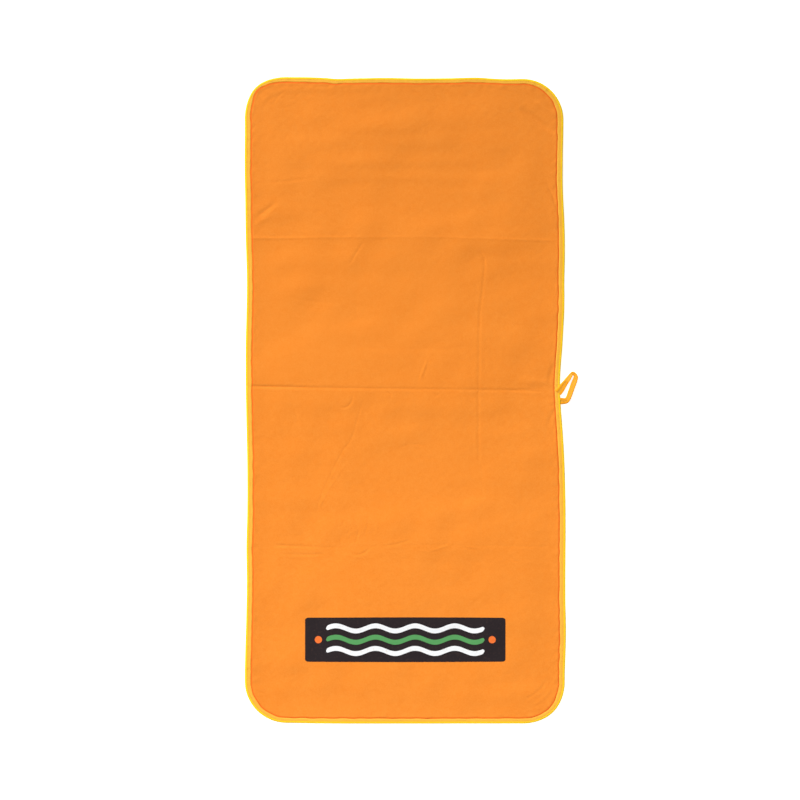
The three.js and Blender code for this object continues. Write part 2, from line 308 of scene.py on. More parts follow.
@dataclass(frozen=True)
class Lay:
    """How the towel lies on the table: its wavy edge, its folds, wrinkles and ripples.

    Attributes:
        outline: the towel's outer edge before it is laid down.
        left_edge: how far the left edge lies to the right of its straight line at each y.
        right_edge: the same for the right edge.
        top_edge: how far the top edge lies above its straight line at each x.
        bottom_edge: the same for the bottom edge.
        folds: the three folds pressed right across it.
        creases: its short wrinkles and the long crease down its right half.
        swell: the broadest rise and fall.
        roll: the next finer one.
        dimple: the small hollows all over.
        nap: the unevenness of the brushed face alone.
        fan: the fine wrinkles round one place, fan_place.
        fan_place: that place, and how far they reach along x and y.
        rim_loft: how high the cloth lies near its edge.
        inner_loft: how high it lies further in.
        rim_reach: where the loft starts to change from one to the other, and over what distance.
        corners: x and y of the corners that are pulled out, and how far.
        corner_reach: how far round a corner that pull is felt.
        side_width: how much of the binding is seen along the sides.
        end_width: how much of it is seen along the ends.
        turned_away: share of it that is turned out of sight at the top-left corner.
        waver: how that width wavers.
    """

    outline: Outline
    left_edge: Profile = Profile((
        (-345, -0.7), (-300, 0.2), (-265, 1.2), (-225, 1.8), (-180, 1.3), (-135, 2.4), (-95, 2.5), (-40, 1.6),
        (10, 0.6), (70, 0.4), (110, 1.4), (145, 1.9), (205, 0.4), (244, -0.1), (289, -0.9), (335, -0.6),
    ))
    right_edge: Profile = Profile((
        (-345, -0.5), (-325, 0), (-290, 1), (-250, 0.3), (-115, 0.2), (-80, -0.8), (-50, -2.3), (-30, -3.7),
        (-8, -5.4), (14, -6.4), (40, -5.6), (60, -4), (85, -2.4), (110, -1.2), (150, -1), (185, -0.4),
        (215, -0.8), (240, -2), (265, -3), (300, -3), (345, -2.2),
    ))
    top_edge: Profile = Profile((
        (-185, 1.2), (-150, 0.4), (-112, 0), (-97, -0.8), (-86, -1.8), (-70, -1.5), (-26, -0.7), (19, -1.4),
        (60, -0.9), (93, -0.4), (108, -1.5), (123, -2.2), (150, -1.9),
    ))
    bottom_edge: Profile = Profile(((-160, 0.9), (-100, 0.2), (0, 0), (150, 0.3)))
    folds: tuple[FoldLine, ...] = (
        FoldLine(
            Profile(((-195, 17.3), (-100, 15.6), (0, 14.4), (90, 13.2), (190, 12.4))), V,
            Profile((
                (-195, 1.1), (-150, 0.9), (-110, 0.6), (-20, 0.42), (60, 0.36), (120, 0.5), (160, 0.8), (185, 1.2),
            )),
            depth=0.72, width=1.8,
        ),
        FoldLine(
            Profile(((-195, 200.6), (-60, 202), (40, 202), (120, 199.5), (190, 198))), R,
            Profile(((-195, 0.6), (-120, 0.42), (-20, 0.28), (90, 0.3), (190, 0.42))), width=1.7,
        ),
        FoldLine(
            Profile(((-195, -178.6), (-140, -180), (-90, -182), (0, -179), (190, -181))), V,
            Profile(((-195, 0.9), (-140, 0.6), (-95, 0.26), (0, 0.14), (190, 0.18))), width=1.7,
        ),
    )
    creases: tuple[Crease, ...] = (
        Crease((
            (76, 204), (86, 196), (94, 185), (98, 168), (96, 140), (92, 100), (91, 20), (91, -68), (95, -88),
            (97, -197),
        ), V, 0.3, 1.6),
        Crease(((-58, 190), (-60, 120), (-61, 60)), V, 0.11, 1.8),
        Crease(((-51, 197), (-58, 187), (-65, 175), (-70, 167)), V, 0.3, 1.4),
        Crease(((-50, 186), (-58, 187), (-66, 190)), R, 0.25, 1.4),
        Crease(((-62, 178), (-57, 170), (-53, 166)), V, 0.21, 1.3),
        Crease(((2, 248), (8, 243), (15, 247)), V, 0.21, 1.3),
        Crease(((8, 243), (6, 234)), V, 0.17, 1.3),
        Crease(((142, 363), (156, 352), (170, 341), (186, 331)), V, 1.3, 4),
        Crease(((160, 372), (173, 361), (188, 351)), R, 0.63, 3.4),
        Crease(((-158, 247), (-170, 237), (-184, 227)), V, 0.6, 3.2),
        Crease(((-162, 233), (-174, 224), (-187, 218)), R, 0.4, 3.4),
        Crease(((173, 270), (182, 254), (189, 233)), V, 0.59, 2.2),
        Crease(((-190, 268), (-150, 271), (-105, 276)), V, 0.21, 1.8),
        Crease(((-148, 129), (-112, 122), (-72, 120)), V, 0.17, 1.8),
        Crease(((-66, 65), (20, 63), (94, 66)), V, 0.17, 2.4),
        Crease(((28, 53), (23, 38), (17, 22)), R, 0.42, 1.5),
        Crease(((-84, -2), (-80, -8), (-72, -8), (-66, -1), (-66, 6)), V, 0.45, 1.4),
        Crease(((-24, 11), (-19, 8), (-17, 2)), V, 0.46, 1.3),
        Crease(((34, 11), (38, 6), (43, 8)), V, 0.42, 1.3),
        Crease(((74, 13), (79, 6), (86, 0)), V, 0.5, 1.4),
        Crease(((68, 8), (73, 2), (75, -5)), R, 0.25, 1.2),
        Crease(((-50, 4), (-56, -12), (-66, -46), (-81, -69), (-105, -120), (-109, -146)), V, 0.22, 1.3),
        Crease(((-68, -71), (-84, -94), (-101, -121), (-108, -139)), R, 0.2, 1.3),
        Crease(((-10, -62), (6, -54), (31, -57)), V, 0.21, 1.6),
        Crease(((-157, -190), (-125, -191), (-97, -190)), V, 0.36, 1.6),
        Crease(((-82, -171), (-79, -178), (-74, -184)), V, 0.38, 1.4),
        Crease(((-73, -184), (-64, -190), (-54, -190), (-40, -180)), V, 0.42, 1.5),
        Crease(((-24, -180), (-8, -177), (9, -172)), V, 0.29, 1.6),
        Crease(((29, -187), (42, -183), (57, -178)), R, 0.29, 1.6),
        Crease(((64, -179), (76, -183), (91, -186)), V, 0.21, 1.5),
        Crease(((-66, -140), (-58, -160), (-62, -178)), V, 0.27, 1.5),
        Crease(((-48, -136), (-46, -152), (-51, -170)), V, 0.21, 1.4),
        Crease(((-38, -146), (-35, -158), (-39, -172)), R, 0.21, 1.4),
        Crease(((-78, -143), (-80, -152), (-74, -164)), R, 0.21, 1.4),
        Crease(((173, -140), (181, -148), (190, -157)), V, 0.55, 2),
        Crease(((124, -189), (133, -196), (143, -203)), V, 0.25, 2.2),
        Crease(((186, 46), (180, 30), (183, 14)), V, 0.63, 3.4),
        Crease(((140, 25), (165, 23), (190, 21)), R, 0.55, 5),
        Crease(((188, -8), (180, -20), (178, -36)), V, 0.34, 2.6),
        Crease(((-180, 358), (-173, 373), (-158, 381)), R, 0.16, 2.2),
        Crease(((-148, 384), (-157, 376), (-165, 364)), V, 0.2, 1.6),
        Crease(((183, -350), (173, -367), (153, -380)), R, 0.22, 2.4),
        Crease(((176, -344), (166, -359), (146, -371)), V, 0.25, 2),
        Crease(((-86, 336), (-30, 338), (20, 336)), R, 0.34, 8),
        Crease(((-150, 310), (-20, 307), (120, 312)), V, 0.42, 10),
        Crease(((-120, 285), (20, 288), (150, 284)), V, 0.25, 6),
        Crease(((-160, 274), (0, 275), (140, 272)), R, 0.25, 6),
        Crease(((-180, 366), (-170, 378), (-150, 384), (-60, 386), (-20, 387)), R, 0.22, 4),
    )
    swell: Ripple = Ripple(11, 90, 280, 0.4, 1.7)
    roll: Ripple = Ripple(23, 26, 70, 0.11, 1.4)
    dimple: Ripple = Ripple(37, 8, 18, 0.028)
    nap: Ripple = Ripple(41, 3.2, 7, 0.018)
    fan: Ripple = Ripple(53, 5, 9, 0.08, 0.4)
    fan_place: tuple[float, float, float, float] = (-62, -160, 26, 20)
    rim_loft: float = 0.62
    inner_loft: float = 1.15
    rim_reach: tuple[float, float] = (10, 45)
    corners: tuple[tuple[float, float, float], ...] = ((-183, 385, 2.8), (183, -385, 1.3))
    corner_reach: float = 22
    side_width: float = 7.3
    end_width: float = 6.2
    turned_away: float = 0.42
    waver: Ripple = Ripple(83, 12, 40, 0.2)

    def tape_width(self, x: Array, y: Array, inward_x: Array, inward_y: Array) -> Array:
        """How much of the binding is seen at points of the outline, given the direction into the towel."""
        width = self.side_width * inward_x**2 + self.end_width * inward_y**2
        cx, cy, _ = self.corners[0]
        curl = np.exp(-(((x - cx) / self.corner_reach) ** 2) - ((y - cy) / self.corner_reach) ** 2)
        return width * (1 - self.turned_away * curl) + self.waver.at(x, y)

    def drift(self, u: Array, v: Array) -> tuple[Array, Array]:
        """Where places of the flat towel come to lie, seen from above."""
        hx, hy = self.outline.half_x, self.outline.half_y
        side, end = 60, 50  # how far in the waviness of the edges is felt
        x = u + self.left_edge.at(v) * np.exp(-(u + hx) / side) + self.right_edge.at(v) * np.exp(-(hx - u) / side)
        y = v + self.top_edge.at(u) * np.exp(-(hy - v) / end) + self.bottom_edge.at(u) * np.exp(-(v + hy) / end)
        for cx, cy, push in self.corners:
            near = push / math.sqrt(2) * np.exp(-((u - cx) ** 2 + (v - cy) ** 2) / self.corner_reach**2)
            x, y = x + math.copysign(1, cx) * near, y + math.copysign(1, cy) * near
        return x, y

    def ground(self, x: Array, y: Array) -> Array:
        """How high the towel's underside lies above the table at each place."""
        edge = np.minimum(self.outline.half_x - np.abs(x), self.outline.half_y - np.abs(y))
        first, over = self.rim_reach
        inner = np.clip((edge - first) / over, 0, 1)
        loft = self.rim_loft + (self.inner_loft - self.rim_loft) * inner**2 * (3 - 2 * inner)
        soft = loft * (1 + np.tanh((self.swell.at(x, y) + self.roll.at(x, y)) / self.rim_loft))
        for mark in (*self.folds, *self.creases):
            soft = soft + mark.at(x, y)
        fx, fy, reach_x, reach_y = self.fan_place
        near = np.exp(-(((x - fx) / reach_x) ** 2) - ((y - fy) / reach_y) ** 2)
        soft = soft + self.dimple.at(x, y) + near * self.fan.at(x, y)
        lowest, rounding = 0.02, 25  # it rounds off softly just above the table
        return np.logaddexp(0, (soft - 0.03) * rounding) / rounding + lowest


# ------------------------------------------------------------------------------------------ meshes


def mesh_piece(name: str, points: Array, groups: list[Array]) -> bpy.types.Object:
    """A new object from points and faces.

    Args:
        name: its name.
        points: one row a point, in millimetres.
        groups: arrays of faces, each of one number of corners.

    Returns:
        The object, at the origin and linked to the scene.
    """
    mesh = bpy.data.meshes.new(name)
    mesh.vertices.add(len(points))
    mesh.vertices.foreach_set("co", (points * MM).astype(np.float32).ravel())
    corners = np.concatenate([g.ravel() for g in groups]).astype(np.int32)
    sizes = np.concatenate([np.full(len(g), g.shape[1]) for g in groups])
    mesh.loops.add(len(corners))
    mesh.loops.foreach_set("vertex_index", corners)
    mesh.polygons.add(len(sizes))
    mesh.polygons.foreach_set("loop_start", (np.cumsum(sizes) - sizes).astype(np.int32))
    mesh.update(calc_edges=True)
    mesh.polygons.foreach_set("use_smooth", np.ones(len(sizes), bool))
    mesh.validate()
    piece = bpy.data.objects.new(name, mesh)
    bpy.context.scene.collection.objects.link(piece)
    return piece


def select_only(piece: bpy.types.Object) -> None:
    """Makes one object the selected, active one."""
    bpy.ops.object.select_all(action="DESELECT")
    piece.select_set(True)
    bpy.context.view_layer.objects.active = piece


def smooth_by_angle(piece: bpy.types.Object, degrees: float) -> None:
    """Shades a piece smooth but for its sharp corners."""
    select_only(piece)
    bpy.ops.object.shade_smooth_by_angle(angle=math.radians(degrees))


def quads(rows: int, columns: int, around: bool = False) -> Array:
    """Faces of a grid of points, counter-clockwise when x runs along a row and y from row to row.

    Args:
        rows: rows of points.
        columns: points in a row.
        around: whether each row closes on itself.

    Returns:
        One row of four corners a face.
    """
    i = np.arange(rows - 1)[:, None] * columns
    j = np.arange(columns if around else columns - 1)[None]
    k = (j + 1) % columns
    return np.stack([i + j, i + k, i + k + columns, i + j + columns], -1).reshape(-1, 4)


def write_uv(piece: bpy.types.Object, name: str, per_point: Array) -> None:
    """Gives a piece a UV map from one pair of numbers for each point."""
    mesh = piece.data
    corners = np.zeros(len(mesh.loops), np.int32)
    mesh.loops.foreach_get("vertex_index", corners)
    layer = mesh.uv_layers.new(name=name)
    layer.uv.foreach_set("vector", per_point[corners].astype(np.float32).ravel())


def triangles(piece: bpy.types.Object) -> int:
    """How many triangles a piece has."""
    return sum(len(p.vertices) - 2 for p in piece.data.polygons)


# ---------------------------------------------------------------------------------------- finishes


class Tree:
    """A material's nodes, with short ways to add and join them."""

    def __init__(self, name: str) -> None:
        """Starts an empty material with its output and one Principled shader."""
        self.material = bpy.data.materials.new(name)
        self.material.use_nodes = True
        self.nodes = self.material.node_tree.nodes
        self.links = self.material.node_tree.links
        self.nodes.clear()
        self.shader = self.add("ShaderNodeBsdfPrincipled")
        out = self.add("ShaderNodeOutputMaterial")
        self.links.new(self.shader.outputs[0], out.inputs["Surface"])

    def add(self, kind: str, **settings: object) -> bpy.types.Node:
        """Adds a node.

        Args:
            kind: the node's type.
            settings: its properties; one that starts with in_ sets an input, by number or by name.

        Returns:
            The node.
        """
        node = self.nodes.new(kind)
        for key, value in settings.items():
            if key.startswith("in_"):
                name = key[3:]
                node.inputs[int(name) if name.isdigit() else name.replace("_", " ")].default_value = value
            else:
                setattr(node, key, value)
        return node

    def join(self, source: bpy.types.NodeSocket, node: bpy.types.Node, socket: int | str) -> None:
        """Joins an output to one of a node's inputs."""
        self.links.new(source, node.inputs[socket])

    def place(self) -> bpy.types.NodeSocket:
        """The place on the piece, in metres."""
        return self.add("ShaderNodeTexCoord").outputs["Object"]

    def uv(self, name: str) -> tuple[bpy.types.NodeSocket, bpy.types.NodeSocket]:
        """The two numbers of a UV map."""
        split = self.add("ShaderNodeSeparateXYZ")
        self.join(self.add("ShaderNodeUVMap", uv_map=name).outputs["UV"], split, 0)
        return split.outputs[0], split.outputs[1]

    def noise(self, place: bpy.types.NodeSocket, scale: float, detail: float = 2) -> bpy.types.NodeSocket:
        """A noise pattern's grey value.

        Args:
            place: the place on the piece, in metres.
            scale: how many of its spots lie along a metre.
            detail: how many finer layers it has.

        Returns:
            The value's socket.
        """
        node = self.add("ShaderNodeTexNoise", in_Scale=scale, in_Detail=detail, in_Roughness=0.55)
        self.join(place, node, "Vector")
        return node.outputs[0]

    def ramp(self, value: bpy.types.NodeSocket, stops: tuple[tuple[float, Colour], ...]) -> bpy.types.NodeSocket:
        """A colour for each value.

        Args:
            value: the socket that picks the colour.
            stops: pairs of place and colour.

        Returns:
            The colour socket.
        """
        node = self.add("ShaderNodeValToRGB")
        marks = node.color_ramp.elements
        while len(marks) < len(stops):
            marks.new(1)
        for mark, (place, colour) in zip(marks, stops):
            mark.position = place
            mark.color = (*colour, 1)
        self.join(value, node, "Fac")
        return node.outputs["Color"]

    def math(self, operation: str, a: object, b: object = None) -> bpy.types.NodeSocket:
        """One sum of two values, each a socket or a number."""
        node = self.add("ShaderNodeMath", operation=operation)
        for i, value in enumerate((a, b)):
            if isinstance(value, bpy.types.NodeSocket):
                self.join(value, node, i)
            elif value is not None:
                node.inputs[i].default_value = value
        return node.outputs[0]

    def mix(self, share: object, a: object, b: object, blend: str = "MIX") -> bpy.types.NodeSocket:
        """Two colours mixed, each a socket or a colour."""
        node = self.add("ShaderNodeMix", data_type="RGBA", blend_type=blend)
        for socket, value in ((0, share), (6, a), (7, b)):
            if isinstance(value, bpy.types.NodeSocket):
                self.join(value, node, socket)
            else:
                node.inputs[socket].default_value = (*value, 1) if isinstance(value, tuple) else value
        return node.outputs[2]

    def fade(self, value: bpy.types.NodeSocket, low: float, high: float) -> bpy.types.NodeSocket:
        """0 below low, 1 above high, and smooth between them."""
        node = self.add("ShaderNodeMapRange", interpolation_type="SMOOTHSTEP")
        node.inputs["From Min"].default_value = low
        node.inputs["From Max"].default_value = high
        self.join(value, node, "Value")
        return node.outputs[0]

    def scaled(self, value: bpy.types.NodeSocket, factor: float, base: float = 0.0) -> bpy.types.NodeSocket:
        """A value times a factor, plus a base."""
        product = self.math("MULTIPLY", value, factor)
        return self.math("ADD", product, base) if base else product

    def bump(
        self, height: bpy.types.NodeSocket, strength: float, distance: float, under: object = None
    ) -> bpy.types.NodeSocket:
        """A bump from a height in shares of distance, in metres, over another bump if there is one."""
        node = self.add("ShaderNodeBump", in_Strength=strength, in_Distance=distance)
        self.join(height, node, "Height")
        if under is not None:
            self.join(under, node, "Normal")
        return node.outputs["Normal"]


@dataclass(frozen=True)
class BrushedCloth:
    """Brushed microfibre: matt, a little uneven, with a short nap that catches light at its edges.

    Attributes:
        colour: the cloth's middle colour.
        light: where the nap stands up.
        dark: where it lies flat.
        seam_shade: painted shade beside the tape's inner edge, a deeper red-orange that stands in for the seam's
            shadow and warm bounce light.
        seam_shade_from: distance past the tape at which that painted shade starts to fade, in metres.
        seam_shade_to: where it has gone.
    """

    colour: Colour = (0.818, 0.24, 0.024)
    light: Colour = (0.835, 0.262, 0.031)
    dark: Colour = (0.8, 0.218, 0.0175)
    # painted shade: a deeper red-orange that stands in for the shadow and bounce light in the seam beside the tape
    seam_shade: Colour = (0.83, 0.142, 0.012)
    seam_shade_from: float = 0.0008
    seam_shade_to: float = 0.0025

    def material(self) -> bpy.types.Material:
        """The finish's material. The UV map seam gives the distance past the tape's inner edge."""
        tree = Tree("brushed_cloth")
        place = tree.place()
        broad = tree.noise(place, 9, 3)  # areas as wide as a hand
        patch = tree.noise(place, 130, 3)  # strokes of the brushed nap
        grain = tree.noise(place, 420, 3)  # its tufts
        fleck = tree.noise(place, 760, 2)  # single tufts turned to or from the light
        fuzz = tree.noise(place, 1500, 2)  # fibre ends
        mottle = tree.math("ADD", tree.scaled(patch, 0.28), tree.scaled(grain, 0.42))
        mottle = tree.math("ADD", mottle, tree.scaled(broad, 0.2))
        mottle = tree.math("ADD", mottle, tree.scaled(fleck, 0.5))
        colour = tree.ramp(mottle, ((0.5, self.dark), (0.7, self.colour), (0.9, self.light)))
        # the painted seam shade lies along the tape's inner edge and fades out past it
        clear_of_seam_shade = tree.fade(tree.uv("seam")[0], self.seam_shade_from, self.seam_shade_to)
        tree.join(tree.mix(clear_of_seam_shade, self.seam_shade, colour), tree.shader, "Base Color")
        tree.join(tree.scaled(grain, 0.12, 0.82), tree.shader, "Roughness")
        soft = tree.bump(grain, 0.32, 0.00035)
        tree.join(tree.bump(fuzz, 0.25, 0.00012, soft), tree.shader, "Normal")
        tree.shader.inputs["Specular IOR Level"].default_value = 0.15
        tree.shader.inputs["Sheen Weight"].default_value = 0.22
        tree.shader.inputs["Sheen Roughness"].default_value = 0.45
        tree.shader.inputs["Sheen Tint"].default_value = (1, 0.72, 0.45, 1)
        return tree.material


@dataclass(frozen=True)
class RibbedTape:
    """Satin binding tape: fine ribs across it and a turned edge painted bright as a highlight.

    Attributes:
        name: the material's name.
        rim_highlight: colour of the turned edge, painted bright yellow as the highlight where the rolled fold catches
            light.
        body: colour between that edge and the stitches.
        inner: colour inside the stitches, painted a little lighter as light on the puffed strip.
        row: colour under them, painted a little darker as shade in the stitch channel.
        rib: one rib to the next, in metres.
        ribs_across: how many threads lie across the tape's seen half.
    """

    name: str = "ribbed_tape"
    # painted light and shade across the tape: a highlight on the turned edge, shade along the stitch row and light on
    # the puffed strip inside it
    rim_highlight: Colour = (0.95, 0.6, 0.008)
    body: Colour = (0.92, 0.42, 0.03)
    inner: Colour = (0.91, 0.455, 0.045)
    row: Colour = (0.9, 0.425, 0.038)
    rib: float = 0.0007
    ribs_across: float = 14

    def material(self) -> bpy.types.Material:
        """The finish's material. The UV map tape runs along the tape and across it, 0 at its fold."""
        tree = Tree(self.name)
        along, signed = tree.uv("tape")
        place = tree.place()
        wander = tree.math("SUBTRACT", tree.noise(place, 160, 2), 0.5)
        across = tree.math("ADD", tree.math("ABSOLUTE", signed), tree.scaled(wander, 0.08))
        # the colour across the tape paints the shading of its rounded section
        colour = tree.ramp(across, (
            (0.0, self.rim_highlight), (0.3, self.rim_highlight), (0.39, self.body), (0.47, self.body),
            (0.53, self.row), (0.6, self.inner), (1.0, self.inner),
        ))
        speck = tree.noise(place, 700, 2)  # uneven threads
        shade = tree.ramp(speck, ((0.3, (0.93, 0.93, 0.93)), (0.7, (1, 1, 1))))
        tree.join(tree.mix(1.0, colour, shade, "MULTIPLY"), tree.shader, "Base Color")
        ribs = tree.math("SINE", tree.scaled(along, math.tau / self.rib))
        threads = tree.math("SINE", tree.scaled(signed, math.tau * self.ribs_across))
        weave = tree.bump(tree.math("MULTIPLY", ribs, threads), 0.35, 0.00006)
        tree.join(tree.bump(speck, 0.2, 0.0002, weave), tree.shader, "Normal")
        tree.join(tree.scaled(speck, 0.15, 0.48), tree.shader, "Roughness")
        tree.shader.inputs["Specular IOR Level"].default_value = 0.2
        tree.shader.inputs["Sheen Weight"].default_value = 0.04
        return tree.material


@dataclass(frozen=True)
class SewingThread:
    """Twisted thread with a soft sheen."""

    colour: Colour = (0.9, 0.42, 0.035)

    def material(self) -> bpy.types.Material:
        """The finish's material."""
        tree = Tree("sewing_thread")
        ply = tree.noise(tree.place(), 2600, 2)  # its twisted plies
        dark = tuple(c * 0.8 for c in self.colour)
        tree.join(tree.ramp(ply, ((0.3, dark), (0.65, self.colour))), tree.shader, "Base Color")
        tree.join(tree.bump(ply, 0.4, 0.00008), tree.shader, "Normal")
        tree.join(tree.scaled(ply, 0.2, 0.4), tree.shader, "Roughness")
        return tree.material


@dataclass(frozen=True)
class PrintInk:
    """Flat ink soaked into the nap, with the cloth's grain showing through.

    Attributes:
        name: the material's name.
        colour: colour of the full ink.
        worn: colour where the nap shows through.
    """

    name: str
    colour: Colour
    worn: Colour

    def material(self) -> bpy.types.Material:
        """The finish's material."""
        tree = Tree(self.name)
        grain = tree.noise(tree.place(), 420, 3)  # the cloth's tufts under it
        colour = tree.ramp(grain, ((0.3, self.worn), (0.42, self.colour), (1, self.colour)))
        tree.join(colour, tree.shader, "Base Color")
        tree.join(tree.bump(grain, 0.3, 0.0003), tree.shader, "Normal")
        tree.join(tree.scaled(grain, 0.2, 0.6), tree.shader, "Roughness")
        tree.shader.inputs["Specular IOR Level"].default_value = 0.2
        return tree.material


# ------------------------------------------------------------------------------------------- cloth


class Stretch(Enum):
    """Which part of the towel a set of pieces covers. The value is part of the pieces' names."""

    TOP = "top"
    MIDDLE = "middle"
    BOTTOM = "bottom"


@dataclass(frozen=True)
class Zone:
    """A stretch of the towel that one set of pieces covers, between two seams the eye can't see.

    Attributes:
        stretch: which stretch it is.
        low: its lower end, y on the flat towel.
        high: its upper end.
        near: the body before the fold line; not used.
        far: the body beyond it; not used.
        start: y where the cloth starts to bend at the fold.
        end: y where it has turned.
    """

    stretch: Stretch
    low: float
    high: float
    near: str
    far: str
    start: float
    end: float

    @property
    def name(self) -> str:
        """The stretch's part of the pieces' names."""
        return self.stretch.value

    @property
    def round_end(self) -> bool:
        """Whether the stretch ends in the towel's edge, with its two round corners."""
        return self.stretch is not Stretch.MIDDLE

    def bend(self, piece: bpy.types.Object) -> None:
        """Bakes a finished piece's transform into its mesh."""
        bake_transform(piece)


@dataclass
class Cloth:
    """The towel's cloth: three closed sheets that meet at two unseen seams.

    Attributes:
        lay: how the towel lies.
        step: size of its mesh on the face.
        inset: how far its cut edge lies inside the binding's outer edge.
        top: height of the face above the ground by distance from the edge, for the full width of tape.
        under: height of the back in the same way.
        gather: how the seam gathers the cloth.
        by_crease: how much closer the mesh's rows lie at a pressed fold, and over what distance.
        by_bend: the same where the cloth bends at a hinge.
        by_tape: the same for all lines where it comes out of the binding, and at what distance from the edge.
    """

    lay: Lay
    step: float = 1.36
    inset: float = 1.2
    top: Profile = Profile((
        (1, 1.3), (6, 1.36), (7.1, 1.52), (7.5, 1.84), (8.4, 1.97), (13, 1.86), (22, 1.52), (40, 1.22), (60, 1.02),
        (80, 0.93),
    ))
    under: Profile = Profile((
        (1, 0.58), (6.5, 0.58), (8, 0.75), (10, 0.92), (14, 0.87), (22, 0.6), (40, 0.3), (60, 0.1), (80, 0.02),
    ))
    gather: Ripple = Ripple(67, 7, 22, 0.07)
    by_crease: tuple[float, float] = (1.1, 5)
    by_bend: tuple[float, float] = (0.8, 5)
    by_tape: tuple[float, float, float] = (1.6, 3.5, 7.5)

    def rows(self, zone: Zone) -> Array:
        """The y of each row of points, closer together by the folds, and one more beyond each end."""
        fine = np.linspace(zone.low, zone.high, SAMPLES)
        creases = [(fold.line.at(np.zeros(1))[0], *self.by_crease) for fold in self.lay.folds]
        dense = 1.0
        for middle, closer, reach in (*creases, ((zone.start + zone.end) / 2, *self.by_bend)):
            dense = dense + closer * np.exp(-(((fine - middle) / reach) ** 2))
        y = self.spread(fine, dense + self.by_seam(self.lay.outline.half_y - np.abs(fine)))
        return np.concatenate([[2 * y[0] - y[1]], y, [2 * y[-1] - y[-2]]])

    def by_seam(self, edge: Array) -> Array:
        """How much closer the mesh's lines lie at each distance from the towel's edge."""
        closer, reach, middle = self.by_tape
        return closer * np.exp(-(((edge - middle) / reach) ** 2))

    def spread(self, fine: Array, dense: Array) -> Array:
        """An odd number of places along a line.

        Args:
            fine: evenly spaced places along it.
            dense: how close together the new ones are to lie at each.

        Returns:
            The new places, from end to end.
        """
        total = np.concatenate([[0], np.cumsum((dense[1:] + dense[:-1]) / 2)])
        count = 2 * round((fine[-1] - fine[0]) * dense.mean() / self.step / 2)
        return np.interp(np.linspace(0, total[-1], count + 1), total, fine)

    def heights(self, u: Array, v: Array) -> tuple[Array, Array, Array, Array]:
        """Where places of the flat cloth lie.

        Returns:
            x and y, and the heights of the face and of the back.
        """
        x, y = self.lay.drift(u, v)
        ground = self.lay.ground(x, y)
        place = self.past_tape(u, v) + self.lay.side_width
        near = np.exp(-(((place - 9) / 7) ** 2)) * np.clip((place - 7) / 1.2, 0, 1)  # just past the tape
        face = ground + self.top.at(place) + near * self.gather.at(u, v) + self.lay.nap.at(x, y)
        return x, y, face, ground + self.under.at(place)

    def past_tape(self, u: Array, v: Array) -> Array:
        """How far places of the flat cloth lie beyond the tape's inner edge."""
        edge, nu, nv = self.lay.outline.inset(u, v)
        return edge - self.lay.tape_width(nu, nv, (u - nu) / edge, (v - nv) / edge)

    def grid(self, zone: Zone) -> tuple[Array, Array]:
        """Where the sheet's points lie on the flat cloth, with one row more beyond each end.

        Args:
            zone: the stretch of the towel.

        Returns:
            x and y of the points, row by row.
        """
        outline = self.lay.outline
        half, end = outline.half_x - self.inset, outline.half_y - self.inset
        fine = np.linspace(-half, half, SAMPLES)
        across = self.spread(fine, 1 + self.by_seam(outline.half_x - np.abs(fine))) / half
        v = np.clip(self.rows(zone), -end, end)
        u = across[None] * outline.half_width(v, self.inset)[:, None]
        return u, np.broadcast_to(v[:, None], u.shape)

    def normals(self, top: Array, zone: Zone) -> Array:
        """The cloth's directions at every point of its face, taken one row in at a round end."""
        along = np.gradient(top, axis=1)
        over = np.gradient(top, axis=0)
        normal = np.cross(along, over)
        if zone.stretch is Stretch.TOP:
            normal[-2] = np.cross(along[-3], over[-3])
        if zone.stretch is Stretch.BOTTOM:
            normal[1] = np.cross(along[2], over[2])
        return normal / np.maximum(np.linalg.norm(normal, axis=-1, keepdims=True), 1e-12)

    @staticmethod
    def closed(rows: int, columns: int) -> list[Array]:
        """Faces of a closed sheet: its face, its back half as fine, and the walls between them.

        Args:
            rows: rows of points on the face.
            columns: points in a row of it.

        Returns:
            The three groups of faces. The back's points are numbered after the face's.
        """
        face = np.arange(rows * columns).reshape(rows, columns)
        back_rows, back_columns = (rows + 1) // 2, (columns + 1) // 2
        back = np.arange(back_rows * back_columns).reshape(back_rows, back_columns) + rows * columns
        walls = []
        for f, b in (
            (face[0], back[0]), (face[:, -1], back[:, -1]),
            (face[-1, ::-1], back[-1, ::-1]), (face[::-1, 0], back[::-1, 0]),
        ):
            walls.append(np.stack([b[:-1], b[1:], f[2::2], f[1::2], f[:-1:2]], 1))
        under = quads(back_rows, back_columns)[:, ::-1] + rows * columns
        return [quads(rows, columns), under, np.concatenate(walls)]

    def sheet(self, zone: Zone) -> bpy.types.Object:
        """One closed sheet, with its back half as fine as its face."""
        u, v = self.grid(zone)
        x, y, upper, lower = self.heights(u, v)
        top = np.stack([x, y, upper], -1)
        normal = self.normals(top, zone)[1:-1]
        top = top[1:-1]
        low = np.stack([x, y, lower], -1)[1:-1][::2, ::2]
        faces = self.closed(*top.shape[:2])
        points = np.concatenate([top.reshape(-1, 3), low.reshape(-1, 3)])
        piece = mesh_piece(f"towel_cloth_{zone.name}", points, faces)
        past = self.past_tape(u, v)[1:-1]
        past = np.concatenate([past.ravel(), past[::2, ::2].ravel()])
        write_uv(piece, "seam", np.column_stack([past * MM, np.zeros(len(past))]))
        self.shade(piece, normal, faces)
        return piece

